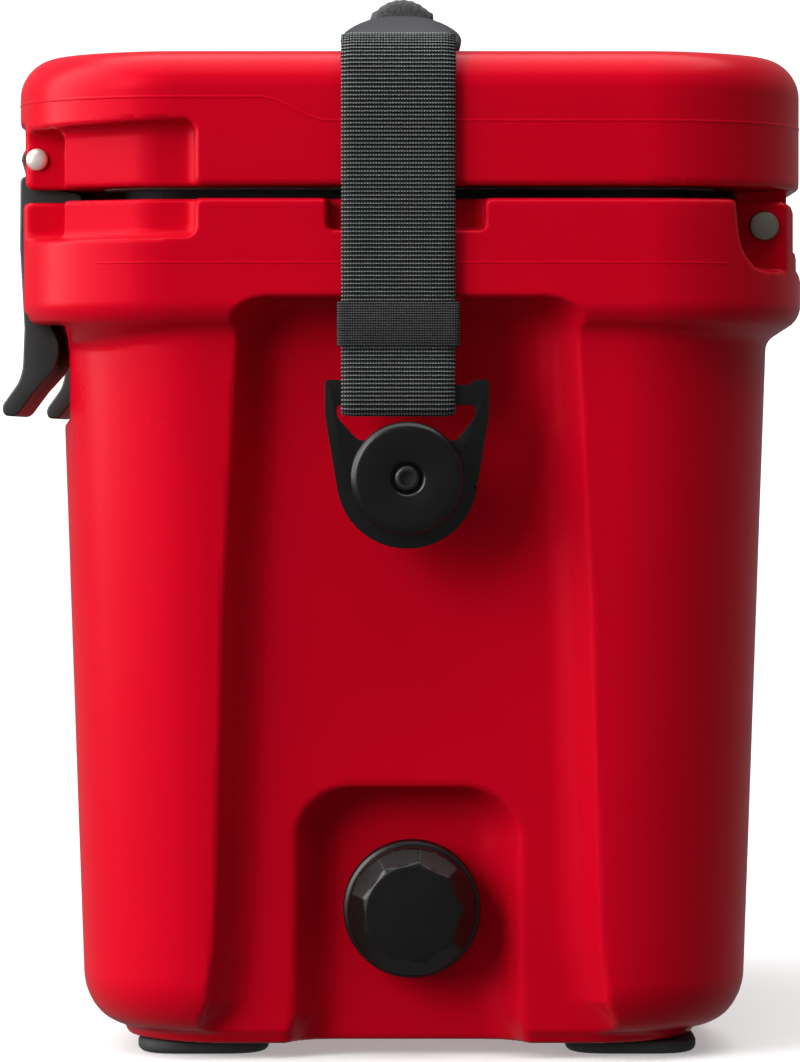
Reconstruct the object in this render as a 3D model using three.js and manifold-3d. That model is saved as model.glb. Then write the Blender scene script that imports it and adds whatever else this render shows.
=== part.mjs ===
// A small hard cooler chest: a roto-moulded tub and lid with foam and white liners, two front latches,
// a rear hinge on two pins, a webbing carrying handle on two D brackets, and a drain plug in one end.
// Millimetres, +Z up. Front (latches) faces -Y, the length runs along X, the floor is Z = 0.
import * as THREE from 'three';
import { mergeVertices } from 'three/addons/utils/BufferGeometryUtils.js';
import Module from 'manifold-3d';

const wasm = await Module();
wasm.setup();

// ---------------------------------------------------------------- driving dimensions
const GAP = 0.3;                 // clearance between touching pieces
const Y_OFF = 2.8;               // brings the bounding box centre, latch tails included, onto Y = 0
const RIM = { x: 206, y: 149, r: 62, z0: 262, z1: 318.6 };
const LID = { x: 206, y: 148.3, r: 62, z0: 323, z1: 375.2 };
const WAIST = { x: 198, y: 134.6, yc: 1.6, r: 58, z0: 11, z1: 268, dx: 8, dy: 8.5 };
const BASE = { x: 174, y: 109, r: 44, z0: 5.5, z1: 16 };
const WALL = 4.5;
const LINER = { x: 149, y: 93, r: 16, z0: 42, wall: 3 };
const FLOOR_X = 182;             // floor of the end channels
const PIVOT = { y: -1.1, z: 214.6 };
const HINGE = { y: 133, z: 309, r: 3.2 };
const LATCH = { y: -140.6, z: 334.4, r: 2.5, x0: 84, x1: 160 };
const DRAIN = { y: 0.8, z: 54.6 };
const STRAP = { y: -4.3, w: 42.5, t: 3 };
const GRIP = { y: -2.9, z: 390.1, r: 14.4, half: 57 };

// ---------------------------------------------------------------- solids
const bare = (g) => {
  const c = g.clone();
  c.deleteAttribute('normal');
  c.deleteAttribute('uv');
  c.clearGroups();
  return mergeVertices(c, 1e-4);
};
const solid = (g) => {
  const m = bare(g);
  return new wasm.Manifold(new wasm.Mesh({
    numProp: 3,
    vertProperties: new Float32Array(m.attributes.position.array),
    triVerts: new Uint32Array(m.index.array),
  }));
};
const geometry = (m) => {
  const mesh = m.getMesh();
  const g = new THREE.BufferGeometry();
  g.setAttribute('position', new THREE.BufferAttribute(new Float32Array(mesh.vertProperties), 3));
  g.setIndex(new THREE.BufferAttribute(new Uint32Array(mesh.triVerts), 1));
  g.computeVertexNormals();
  return g;
};
const cut = (g, ...tools) => geometry(tools.reduce((m, t) => m.subtract(solid(t)), solid(g)));
const join = (g, ...more) => geometry(more.reduce((m, t) => m.add(solid(t)), solid(g)));
const common = (g, t) => geometry(solid(g).intersect(solid(t)));
const flipX = (g) => {
  const c = bare(g);
  c.scale(-1, 1, 1);
  const i = c.index.array;
  for (let k = 0; k < i.length; k += 3) { const t = i[k]; i[k] = i[k + 1]; i[k + 1] = t; }
  return c;
};

const AX = new THREE.Matrix4().makeBasis(new THREE.Vector3(0, 1, 0), new THREE.Vector3(0, 0, 1), new THREE.Vector3(1, 0, 0));
const AY = new THREE.Matrix4().makeBasis(new THREE.Vector3(0, 0, 1), new THREE.Vector3(1, 0, 0), new THREE.Vector3(0, 1, 0));

const rrect = (a, b, r) => {
  const s = new THREE.Shape();
  s.moveTo(-a + r, -b);
  s.lineTo(a - r, -b); s.absarc(a - r, -b + r, r, -Math.PI / 2, 0);
  s.lineTo(a, b - r); s.absarc(a - r, b - r, r, 0, Math.PI / 2);
  s.lineTo(-a + r, b); s.absarc(-a + r, b - r, r, Math.PI / 2, Math.PI);
  s.lineTo(-a, -b + r); s.absarc(-a + r, -b + r, r, Math.PI, 1.5 * Math.PI);
  s.closePath();
  return s;
};
const poly = (pts) => new THREE.Shape(pts.map((p) => new THREE.Vector2(p[0], p[1])));
const disc = (u, v, r, n = 24) => poly(Array.from({ length: n }, (_, i) => [u + r * Math.cos((2 * Math.PI * i) / n), v + r * Math.sin((2 * Math.PI * i) / n)]));
const ext = (shape, d, bev = null, seg = 3) => {
  if (!bev) return new THREE.ExtrudeGeometry(shape, { depth: d, bevelEnabled: false, curveSegments: seg });
  const g = new THREE.ExtrudeGeometry(shape, {
    depth: d - 2 * bev.t, bevelEnabled: true, bevelThickness: bev.t, bevelSize: bev.s, bevelOffset: -bev.s, bevelSegments: bev.n ?? 3, curveSegments: seg,
  });
  g.translate(0, 0, bev.t);
  return g;
};
const alongZ = (shape, z0, z1, bev, seg) => ext(shape, z1 - z0, bev, seg).translate(0, 0, z0);
const alongX = (shape, x0, x1, bev, seg) => ext(shape, x1 - x0, bev, seg).applyMatrix4(AX).translate(x0, 0, 0);   // shape in (Y, Z)
const alongY = (shape, y0, y1, bev, seg) => ext(shape, y1 - y0, bev, seg).applyMatrix4(AY).translate(0, y0, 0);   // shape in (Z, X)
const box = (x0, x1, y0, y1, z0, z1) => new THREE.BoxGeometry(x1 - x0, y1 - y0, z1 - z0).translate((x0 + x1) / 2, (y0 + y1) / 2, (z0 + z1) / 2);
const cylX = (y, z, r, x0, x1, n = 24) => alongX(disc(y, z, r, n), x0, x1);
const cylZ = (x, y, r, z0, z1, n = 24) => alongZ(disc(x, y, r, n), z0, z1);
const cylY = (x, z, r, y0, y1, n = 20) => alongY(disc(z, x, r, n), y0, y1);
const draft = (g) => {           // leans the end faces inwards towards the base
  const p = g.attributes.position;
  for (let i = 0; i < p.count; i++) {
    const f = THREE.MathUtils.clamp((WAIST.z1 - p.getZ(i)) / (WAIST.z1 - WAIST.z0), 0, 1);
    p.setX(i, p.getX(i) - Math.sign(p.getX(i)) * f * WAIST.dx * 0.75);
  }
  return g;
};
// a closed strip of constant thickness along a polyline, as a shape
const strip = (pts, t) => {
  const L = []; const R = [];
  for (let i = 0; i < pts.length; i++) {
    const a = pts[Math.max(i - 1, 0)]; const b = pts[i]; const c = pts[Math.min(i + 1, pts.length - 1)];
    const d1 = new THREE.Vector2(b[0] - a[0], b[1] - a[1]).normalize();
    const d2 = new THREE.Vector2(c[0] - b[0], c[1] - b[1]).normalize();
    if (i === 0) d1.copy(d2);
    if (i === pts.length - 1) d2.copy(d1);
    const n1 = new THREE.Vector2(-d1.y, d1.x); const n2 = new THREE.Vector2(-d2.y, d2.x);
    const n = n1.clone().add(n2).normalize();
    const k = (t / 2) / Math.max(n.dot(n1), 0.5);
    L.push([b[0] + n.x * k, b[1] + n.y * k]);
    R.push([b[0] - n.x * k, b[1] - n.y * k]);
  }
  return poly([...L, ...R.reverse()]);
};

// ---------------------------------------------------------------- tub
const tapered = (inset, z0, z1, bev) => {
  const g = alongZ(rrect(WAIST.x - inset, WAIST.y - inset, Math.max(WAIST.r - inset, 6)), z0, z1, bev);
  const p = g.attributes.position;
  for (let i = 0; i < p.count; i++) {
    const f = THREE.MathUtils.clamp((WAIST.z1 - p.getZ(i)) / (WAIST.z1 - WAIST.z0), 0, 1);
    p.setX(i, p.getX(i) * (1 - (f * WAIST.dx) / WAIST.x));
    p.setY(i, WAIST.yc + p.getY(i) * (1 - (f * WAIST.dy) / WAIST.y));
  }
  return g;
};
const channel = (grow, x0 = FLOOR_X) => draft(alongX(poly([
  [-86 - grow, -8], [-74 - grow, 24], [-71 - grow, 52], [-62 - grow, 262], [-61 - grow, 272 + grow], [-57 - grow, 278 + grow], [-51, 281 + grow],
  [48, 281 + grow], [54 + grow, 278 + grow], [58 + grow, 272 + grow], [60 + grow, 262], [69 + grow, 52], [74 + grow, 24], [88 + grow, -8],
]), x0 - grow, 230));
const sidePanel = (sign, grow) => {
  const s = poly([[-8, -86 - grow], [14, -78 - grow], [250 + grow, -74 - grow], [258 + grow, -70 - grow], [262 + grow, -62], [262 + grow, 62], [258 + grow, 70 + grow], [250 + grow, 74 + grow], [14, 78 + grow], [-8, 86 + grow]]);
  return sign < 0 ? alongY(s, -165, -123 + grow) : alongY(s, 126 - grow, 165);
};
const pocket = (grow) => alongX(poly([
  [-45 - grow, -8], [-42 - grow, 30], [-41 - grow, 84 + grow], [-37 - grow, 94 + grow], [-24, 100 + grow], [25, 100 + grow], [38 + grow, 94 + grow], [42 + grow, 84 + grow], [43 + grow, 30], [46 + grow, -8],
]), 160 - grow, 230);
const latchPocket = (grow, side) => {
  const g = join(box(82 - grow, 162 + grow, -170, -131.9 + grow, 255, 326), common(cylX(LATCH.y, LATCH.z, 25.4 + grow, 82 - grow, 162 + grow, 28), box(70, 210, -180, -100, 290, 326)));
  return side < 0 ? flipX(g) : g;
};
const fingerRecess = (side) => {
  const g = alongX(poly([[-170, 233], [-132, 233], [-129.2, 237], [-129.2, 272], [-170, 272]]), 79, 215);
  return side < 0 ? flipX(g) : g;
};
const hingeSlot = (grow, side) => {
  const g = join(cylX(HINGE.y, HINGE.z, 10.4 + grow, 128 - grow, 164 + grow, 24), box(128 - grow, 164 + grow, HINGE.y - 10.4 - grow, 160, HINGE.z - 4, 326), box(128 - grow, 164 + grow, HINGE.y, 160, HINGE.z - 10.4 - grow, 326));
  return side < 0 ? flipX(g) : g;
};
const hingeNotch = (side) => {
  const g = alongX(poly([[121.5, 325], [122.6, 304], [126, 296], [134, 291.5], [165, 291.5], [165, 325]]), 174, 230);
  return side < 0 ? flipX(g) : g;
};
const cornerPlan = () => poly([[165.8, -170], [230, -170], [230, -79.5], [201, -79.5], [197, -83], [197, -93], [198.5, -95], [184.5, -124], [182, -128.5], [165.8, -129.5]]);
const cornerWide = (z0, z1, e = 0) => { const g = alongZ(poly([[160.5, -170], [230, -170], [230, -74], [196, -74], [191.6, -79], [191.6, -90], [179.6, -116], [177, -123], [160.5, -124]].map(([x, y]) => [x - e, y + e])), z0, z1); return [g, flipX(g)]; };
const cornerRecess = (side) => {   // shallow end panels beside the latches, in the rim
  const g = alongZ(cornerPlan(), 303.5, 325);
  return side < 0 ? flipX(g) : g;
};
const tieNotch = (side) => {
  const g = box(199, 230, -31, 28, 306.4, 325);
  return side < 0 ? flipX(g) : g;
};
const rearRelief = (grow) => alongX(poly([[138.3 - grow, 330], ...Array.from({ length: 6 }, (_, i) => { const a = Math.PI / 2 - (i * Math.PI) / 10; return [138.3 - grow + 8 * Math.cos(a), 310.6 - grow + 8 * Math.sin(a)]; }), [146.3 - grow, 292.6 - grow], [149.4, 289.4 - grow], [165, 289 - grow], [165, 330]]), -215, 215);
const both = (f, ...a) => [f(...a, 1), f(...a, -1)];

const footAt = [[136, -78.8], [-136, -78.8], [136, 84.4], [-136, 84.4]];
const keeperScrews = [112, 132];

let tub = join(tapered(0, WAIST.z0, WAIST.z1 + 20, { t: 18, s: 14, n: 3 }), alongZ(rrect(RIM.x, RIM.y, RIM.r), RIM.z0, RIM.z1, { t: 6, s: 6, n: 3 }), alongZ(rrect(BASE.x, BASE.y, BASE.r), BASE.z0, BASE.z1, { t: 2, s: 2, n: 1 }));
tub = cut(tub, channel(0), flipX(channel(0)), sidePanel(-1, 0), sidePanel(1, 0), pocket(0), ...both((s) => latchPocket(0, s)), ...both(fingerRecess), ...both((s) => hingeSlot(0, s)), ...both(hingeNotch), ...both(cornerRecess), ...both(tieNotch));
tub = cut(tub, rearRelief(0));
const boss = cylX(PIVOT.y, PIVOT.z, 16, 176, 200, 32);
tub = join(tub, boss, flipX(boss));
// hollow for the foam
const W = WALL;
let hollow = join(tapered(W, WAIST.z0 + W, 300, { t: 15, s: 12, n: 2 }), alongZ(rrect(RIM.x - W - 1, RIM.y - W - 1, RIM.r - W), RIM.z0 + 12, RIM.z1 - 6.6));
hollow = cut(hollow, channel(W), flipX(channel(W)), sidePanel(-1, W), sidePanel(1, W), pocket(W), ...both((s) => latchPocket(W, s)), ...both((s) => hingeSlot(W, s)), ...cornerWide(299, 330), box(194, 230, -36, 33, 301.5, 330), box(-230, -194, -36, 33, 301.5, 330), rearRelief(W), alongX(poly([[-170, 228], [-127.4, 228], [-124.6, 236], [-124.6, 276.6], [-170, 276.6]]), 74, 215), alongX(poly([[-170, 228], [-127.4, 228], [-124.6, 236], [-124.6, 276.6], [-170, 276.6]]), -215, -74), box(117, 215, 112, 165, 286, 330), box(-215, -117, 112, 165, 286, 330), cylX(PIVOT.y, PIVOT.z, 11, 164, 200, 24), flipX(cylX(PIVOT.y, PIVOT.z, 11, 164, 200, 24)));
const linerOut = (g) => alongZ(rrect(LINER.x + LINER.wall + g, LINER.y + LINER.wall + g, LINER.r + LINER.wall), LINER.z0 - LINER.wall - g, 330, null, 5);
const holes = [
  cylX(PIVOT.y, PIVOT.z, 6.3, 168, 210, 20), flipX(cylX(PIVOT.y, PIVOT.z, 6.3, 168, 210, 20)),
  cylX(HINGE.y, HINGE.z, HINGE.r + GAP, 117, 200, 20), flipX(cylX(HINGE.y, HINGE.z, HINGE.r + GAP, 117, 200, 20)),
  box(105.7, 138.3, -133, -129.1, 282.7, 303.3), flipX(box(105.7, 138.3, -133, -129.1, 282.7, 303.3)),
  cylX(DRAIN.y, DRAIN.z, 8.3, 140, 180, 24),
];
const screwHoles = [...footAt.map(([x, y]) => cylZ(x, y, 2.6, 0, 22, 14)), ...keeperScrews.flatMap((x) => [cylY(x, 293, 1.8, -138, -114, 12), cylY(-x, 293, 1.8, -138, -114, 12)])];
let bodyShell = cut(tub, hollow, alongZ(rrect(LINER.x + LINER.wall + GAP, LINER.y + LINER.wall + GAP, LINER.r + LINER.wall), 300, 330), ...holes, ...screwHoles);

// foam: the hollow, a little smaller, around the liner
const shrink = (g) => {
  const c = bare(g);
  c.computeBoundingBox();
  const b = c.boundingBox;
  c.translate(-(b.min.x + b.max.x) / 2, -(b.min.y + b.max.y) / 2, -(b.min.z + b.max.z) / 2);
  const s = b.getSize(new THREE.Vector3());
  c.scale((s.x - 0.8) / s.x, (s.y - 0.8) / s.y, (s.z - 0.8) / s.z);
  c.translate((b.min.x + b.max.x) / 2, (b.min.y + b.max.y) / 2, (b.min.z + b.max.z) / 2);
  return c;
};
const F = W + 0.5;
let foam = join(tapered(F, WAIST.z0 + F, 299.5, { t: 15, s: 12, n: 2 }), alongZ(rrect(RIM.x - F - 1, RIM.y - F - 1, RIM.r - W), RIM.z0 + 12.5, RIM.z1 - 7.1));
foam = cut(foam, channel(F), flipX(channel(F)), sidePanel(-1, F), sidePanel(1, F), pocket(F), ...both((s) => latchPocket(F, s)), ...both((s) => hingeSlot(F, s)), ...cornerWide(298.5, 330, 0.5), box(193.5, 230, -36.5, 33.5, 301, 330), box(-230, -193.5, -36.5, 33.5, 301, 330), rearRelief(F), alongX(poly([[-170, 227.5], [-126.9, 227.5], [-124.1, 236], [-124.1, 277.1], [-170, 277.1]]), 73.5, 215), alongX(poly([[-170, 227.5], [-126.9, 227.5], [-124.1, 236], [-124.1, 277.1], [-170, 277.1]]), -215, -73.5), box(116.5, 215, 111.5, 165, 285.5, 330), box(-215, -116.5, 111.5, 165, 285.5, 330), cylX(PIVOT.y, PIVOT.z, 11.5, 163.5, 200, 24), flipX(cylX(PIVOT.y, PIVOT.z, 11.5, 163.5, 200, 24)),
  linerOut(GAP), box(105, 139, -134, -128, 282, 304), flipX(box(105, 139, -134, -128, 282, 304)), cylX(DRAIN.y, DRAIN.z, 20, 140, 180, 24), ...screwHoles);

const liner = cut(alongZ(rrect(LINER.x + LINER.wall, LINER.y + LINER.wall, LINER.r + LINER.wall), LINER.z0 - LINER.wall, RIM.z1), alongZ(rrect(LINER.x, LINER.y, LINER.r), LINER.z0, RIM.z1 + 10), cylX(DRAIN.y, DRAIN.z, 8.3, 140, 160, 24));

// ---------------------------------------------------------------- lid
const lidLatchPocket = (grow, side) => {
  const g = box(82 - grow, 162 + grow, -170, -131.2 + grow, 316, 347.5 + grow);
  return side < 0 ? flipX(g) : g;
};
const lidCorner = (side) => {
  const g = alongZ(cornerPlan(), 316, 347.5);
  return side < 0 ? flipX(g) : g;
};
const knuckle = (side) => {
  const g = join(cylX(HINGE.y, HINGE.z, 9.5, 128.6, 163.4, 24), box(128.6, 163.4, HINGE.y - 9.5, HINGE.y + 9.5, HINGE.z, LID.z0 + 6));
  return side < 0 ? flipX(g) : g;
};
const lidOuter = cut(alongZ(rrect(LID.x, LID.y, LID.r), LID.z0 - 14, LID.z1, { t: 12, s: 13, n: 3 }), box(-220, 220, -160, 160, 300, LID.z0));
let lidHollow = alongZ(rrect(LID.x - 8, LID.y - 8, LID.r - 6), LID.z0 + 4.5, LID.z1 - 5.5, null, 4);
const lidCut = (g) => [...both((s) => lidLatchPocket(W + g, s)), ...cornerWide(316, 353 + g, g)];
lidHollow = cut(lidHollow, ...lidCut(0));
const lidMouth = (g, z0, z1) => alongZ(rrect(178 - g, 116 - g, 20), z0, z1, null, 4);
const latchPinHole = (side) => { const g = cylX(LATCH.y, LATCH.z, LATCH.r + GAP, 74, 206, 16); return side < 0 ? flipX(g) : g; };
let lidShell = cut(lidOuter, ...both((s) => lidLatchPocket(0, s)), ...both(lidCorner));
lidShell = join(lidShell, ...both(knuckle));
lidShell = cut(lidShell, lidHollow, lidMouth(0, 300, LID.z0 + 8), ...both(latchPinHole), cylX(HINGE.y, HINGE.z, HINGE.r + GAP, 122, 170, 20), flipX(cylX(HINGE.y, HINGE.z, HINGE.r + GAP, 122, 170, 20)));
const lidFoam = cut(alongZ(rrect(LID.x - 8.5, LID.y - 8.5, LID.r - 6), LID.z0 + 5, LID.z1 - 6, null, 4), ...lidCut(0.5), box(-78.5, -70, -150, -133, 325, 342), box(70, 78.5, -150, -133, 325, 342));
const lidLiner = join(lidMouth(GAP, LID.z0, LID.z0 + 4.2), alongZ(rrect(144, 88, 14), 310, LID.z0 + 1, { t: 2.5, s: 2.5, n: 2 }, 4));
const gasketRing = cut(alongZ(rrect(170, 108.5, 22), 318.9, 322.7, null, 5), alongZ(rrect(162, 100.5, 15), 315, 326, null, 5));

// ---------------------------------------------------------------- latch, one piece
const toLatch = (p) => [-3.7 + (p[0] + 3.7) / 0.976, 229 + (p[1] - 229) / 0.976];
const latchProfile = poly([
  ...Array.from({ length: 9 }, (_, i) => [LATCH.y + 6.6 * Math.cos((i * Math.PI) / 8), LATCH.z + 6.6 * Math.sin((i * Math.PI) / 8)]),
  ...[[-144.0, 322], [-144.0, 300], [-142.4, 270], [-143.2, 255.3], [-143.9, 250.9], [-151, 240.9], [-150.7, 238.8], [-148.4, 237.2], [-145.9, 237.2],
    [-138.5, 246.8], [-131.9, 254.4], [-129.9, 259], [-129.6, 263.8], [-130.8, 267.1], [-133.5, 272], [-134, 300], [-132.5, 309.5], [-122.2, 312.6], [-120.5, 315.6], [-121.5, 318.2], [-130.5, 319.6]].map(toLatch),
]);
const latchSolid = cut(alongX(latchProfile, LATCH.x0, LATCH.x1), cylX(LATCH.y, LATCH.z, LATCH.r + GAP, 70, 210, 16));
const latchPin = join(cylX(LATCH.y, LATCH.z, LATCH.r, 75, 167, 16), cylX(LATCH.y, LATCH.z, 4.2, 166.1, 168.5, 20));
const hingePin = join(cylX(HINGE.y, HINGE.z, HINGE.r, 118, 176, 16), cylX(HINGE.y, HINGE.z, 5.5, 174.3, 177.7, 20));
const keeperPlate = cut(box(106, 138, -131.7, -129.4, 283, 303), ...keeperScrews.map((x) => cylY(x, 293, 1.8, -138, -114, 12)));
const keeperScrew = (x) => join(cylY(x, 293, 1.5, -132.5, -117, 12), cylY(x, 293, 2.9, -133.5, -132.0, 14));

// ---------------------------------------------------------------- handle
const BR = { x0: 204, x1: 209 };
const u = (y) => PIVOT.y + y; const v = (z) => PIVOT.z + z;
const bracketOutline = poly([
  [u(-30.5), v(22)], [u(-26), v(-2)], ...Array.from({ length: 15 }, (_, i) => { const a = Math.PI + 0.08 + (i * (Math.PI - 0.16)) / 14; return [u(26.1 * Math.cos(a)), v(26.1 * Math.sin(a))]; }), [u(26), v(-2)], [u(30.5), v(22)],
  [u(30.5), v(33)], [u(28.6), v(36.6)], [u(24.5), v(36.6)], [u(22.5), v(34.6)], [u(-22.5), v(34.6)], [u(-26.5), v(36.6)], [u(-28.6), v(36.6)], [u(-30.5), v(34)],
]);
let bracketSolid = alongX(bracketOutline, BR.x0, BR.x1);
bracketSolid = cut(bracketSolid, alongX(poly([[u(-26), v(22.5)], [u(-18), v(14)], [u(18), v(14)], [u(25), v(22.5)], [u(25), v(27)], [u(-26), v(27)]]), 200, 215), cylX(PIVOT.y, PIVOT.z, 9.4, 200, 215, 28));
const bush = cut(cylX(PIVOT.y, PIVOT.z, 9, 200.4, 209.2, 28), cylX(PIVOT.y, PIVOT.z, 4.4, 195, 215, 20));
const insert = cut(cylX(PIVOT.y, PIVOT.z, 6, 168.4, 200, 20), cylX(PIVOT.y, PIVOT.z, 4.4, 160, 205, 20));
const bolt = cut(join(cylX(PIVOT.y, PIVOT.z, 4, 172, 214, 20), cylX(PIVOT.y, PIVOT.z, 5.2, 212.6, 216, 24)), alongX(disc(PIVOT.y, PIVOT.z, 2.6, 6), 213.6, 220));
const pivotDisc = cut(alongX(disc(PIVOT.y, PIVOT.z, 20.9, 40), 209.5, 216.6, { t: 1.2, s: 1.2, n: 1 }), cylX(PIVOT.y, PIVOT.z, 4.4, 200, 220, 20), cylX(PIVOT.y, PIVOT.z, 5.8, 212.3, 220, 24));

const strapPath = [
  [205.2, 279], [204.6, 262], [202.3, 254], [202.1, 242.4], [202.9, 239.7], [204.6, 238.9], [208.4, 238.9], [210.1, 239.7], [210.9, 242.4], [210.9, 252], [209.6, 262], [209.2, 285], [209.1, 355], [208.3, 365], [205.8, 372], [201, 377], [194, 379.2], [150, 380.0], [93, 381.9], [62, 384.4],
];
const sw = STRAP.w / 2;
const zx = (pts) => pts.map(([x, z]) => [z, x]);
const strapSolid = alongY(strip(zx(strapPath).reverse(), STRAP.t), STRAP.y - sw, STRAP.y + sw);
const keeperBand = cut(box(202.6, 212.2, STRAP.y - sw - 1.4, STRAP.y + sw + 1.4, 263, 279.8), box(203.0, 211.3, STRAP.y - sw - 0.5, STRAP.y + sw + 0.5, 260, 285));
const strapRoom = alongY(strip(zx([[120, 380.9], [93, 381.9], [60, 384.6], [58, 384.8]]).reverse(), STRAP.t + 0.8), STRAP.y - sw - 0.5, STRAP.y + sw + 0.5);
const shoulder = cut(
  alongY(poly(zx([[57.6, 377.8], [57.6, 395.4], [64, 395.0], [74, 391.8], [84, 388.0], [93, 385.8], [93, 378.8], [80, 377.6]]).reverse()), -27.5, 20.9, { t: 3, s: 1.2, n: 2 }),
  strapRoom,
);
const gripCover = cut(alongX(disc(GRIP.y, GRIP.z, GRIP.r, 32), -GRIP.half, GRIP.half, { t: 2, s: 1.6, n: 2 }), cylX(GRIP.y, GRIP.z, 8.3, -70, 70, 24));
const gripCore = cylX(GRIP.y, GRIP.z, 8, -56.5, 56.5, 24);

// ---------------------------------------------------------------- drain
const drainFitting = cut(join(cylX(DRAIN.y, DRAIN.z, 26, 162.4, 165.4, 36), cylX(DRAIN.y, DRAIN.z, 8, 140, 164, 24)), cylX(DRAIN.y, DRAIN.z, 6, 130, 170, 24));
const drainGasket = cut(cylX(DRAIN.y, DRAIN.z, 20, 160.3, 162.1, 28), cylX(DRAIN.y, DRAIN.z, 8.3, 150, 170, 24));
const drainNut = cut(alongX(disc(DRAIN.y, DRAIN.z, 11.4, 6), 141.5, 148.7), cylX(DRAIN.y, DRAIN.z, 8.3, 130, 160, 24));
const drainSeal = cut(cylX(DRAIN.y, DRAIN.z, 12.4, 165.7, 167.7, 28), cylX(DRAIN.y, DRAIN.z, 5.6, 160, 170, 24));
const drainPlug = join(cylX(DRAIN.y, DRAIN.z, 26, 168, 173, 36), alongX(disc(DRAIN.y, DRAIN.z, 24, 9), 172, 187.5, { t: 5, s: 5.5, n: 1 }), cylX(DRAIN.y, DRAIN.z, 5.2, 148, 170, 20));

// ---------------------------------------------------------------- feet
const footSolid = ([x, y]) => cut(alongZ(rrect(25, 25, 12), 0, 5.2, { t: 1.2, s: 1.2, n: 1 }, 2).translate(x, y, 0), cylZ(x, y, 5.4, -1, 2.6, 14), cylZ(x, y, 2.6, -1, 8, 14));
const footScrew = ([x, y]) => join(cylZ(x, y, 5, 0.8, 2.3, 14), cylZ(x, y, 2.3, 2, 20, 12));

// ---------------------------------------------------------------- the assembly
const chest = new THREE.Group();
chest.name = 'cooler_chest';
chest.position.y = Y_OFF;
const mat = (color, roughness, metalness = 0) => new THREE.MeshStandardMaterial({ color, roughness, metalness });
const RED = () => mat(0xc00420, 0.38);
const BLACK = () => mat(0x17181a, 0.5);
// heights are laid out from a lower datum: the foot of the body and the plain walls are a little taller than drawn
const taller = (geo) => {
  const g = geo.clone();
  const p = g.attributes.position;
  const c = THREE.MathUtils.clamp;
  for (let i = 0; i < p.count; i++) p.setZ(i, p.getZ(i) + 1.5 * c((p.getZ(i) - 14) / 14, 0, 1) + 3 * c((p.getZ(i) - 85) / 100, 0, 1));
  return g;
};
const add = (name, geo, material) => {
  const m = new THREE.Mesh(taller(geo), material);
  m.name = name;
  chest.add(m);
};
add('body_shell', bodyShell, RED());
add('body_foam', foam, mat(0xe8dcae, 0.9));
add('body_liner', liner, mat(0xeeeeea, 0.4));
['foot_front_right', 'foot_front_left', 'foot_rear_right', 'foot_rear_left'].forEach((n, i) => {
  add(n, footSolid(footAt[i]), mat(0x35363a, 0.75));
  add(n.replace('foot', 'foot_screw'), footScrew(footAt[i]), mat(0xa8a8a8, 0.35, 1));
});
const pair = (name, geo, material) => { add(`${name}_right`, geo, material()); add(`${name}_left`, flipX(geo), material()); };
pair('hinge_pin', hingePin, () => mat(0x8a8c86, 0.4, 1));
pair('latch_keeper', keeperPlate, () => mat(0xb0b0b0, 0.35, 1));
keeperScrews.forEach((x, i) => pair(`keeper_screw_${i + 1}`, keeperScrew(x), () => mat(0xb0b0b0, 0.35, 1)));
pair('pivot_insert', insert, () => mat(0xb59a55, 0.4, 1));
pair('pivot_bolt', bolt, () => mat(0x1c1c1e, 0.4, 1));
pair('pivot_disc', pivotDisc, () => mat(0x1a1a1c, 0.42));
add('drain_fitting', drainFitting, mat(0x1b1c1e, 0.5));
add('drain_gasket', drainGasket, mat(0x151515, 0.8));
add('drain_nut', drainNut, mat(0x1b1c1e, 0.5));
add('drain_seal', drainSeal, mat(0x151515, 0.8));
add('drain_plug', drainPlug, mat(0x1f2022, 0.5));
add('lid_shell', lidShell, RED());
add('lid_foam', lidFoam, mat(0xe8dcae, 0.9));
add('lid_liner', lidLiner, mat(0xeeeeea, 0.4));
add('lid_gasket', gasketRing, mat(0x232426, 0.8));
pair('latch_pin', latchPin, () => mat(0xd8d2c4, 0.35, 1));
pair('latch', latchSolid, BLACK);
pair('pivot_bush', bush, () => mat(0x2a2a2c, 0.5));
pair('bracket', bracketSolid, BLACK);
pair('strap', strapSolid, () => mat(0x26282b, 0.85));
pair('strap_keeper', keeperBand, () => mat(0x1c1d20, 0.6));
pair('grip_shoulder', shoulder, () => mat(0x303236, 0.7));
add('grip_core', gripCore, mat(0x8c8c8c, 0.6));
add('grip_cover', gripCover, mat(0x3a3c40, 0.85));

export default chest;
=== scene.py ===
import math

import bmesh
import bpy
import numpy as np
from mathutils import Matrix, Vector


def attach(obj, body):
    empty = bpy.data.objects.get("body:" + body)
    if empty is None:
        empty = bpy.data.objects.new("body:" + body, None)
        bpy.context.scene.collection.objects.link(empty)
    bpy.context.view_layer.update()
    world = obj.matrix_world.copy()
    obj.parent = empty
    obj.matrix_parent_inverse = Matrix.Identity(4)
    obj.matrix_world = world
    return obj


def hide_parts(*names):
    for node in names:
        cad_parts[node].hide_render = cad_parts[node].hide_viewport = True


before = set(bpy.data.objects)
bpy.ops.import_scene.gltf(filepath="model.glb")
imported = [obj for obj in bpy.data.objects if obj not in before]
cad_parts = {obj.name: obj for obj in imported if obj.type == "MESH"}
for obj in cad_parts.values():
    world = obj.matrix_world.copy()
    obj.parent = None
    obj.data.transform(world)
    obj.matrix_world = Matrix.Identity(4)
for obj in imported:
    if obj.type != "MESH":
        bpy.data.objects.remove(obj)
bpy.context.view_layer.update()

YO = 2.8  # mm, the same shift of the object's centre as in the CAD
C = bpy.context.scene.collection


# ------------------------------------------------------------------ materials
def material(name, base, rough=0.5, metal=0.0):
    m = bpy.data.materials.new(name)
    m.use_nodes = True
    nt = m.node_tree
    b = nt.nodes["Principled BSDF"]
    b.inputs["Base Color"].default_value = (*base, 1)
    b.inputs["Roughness"].default_value = rough
    b.inputs["Metallic"].default_value = metal
    return m, nt, b


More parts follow.
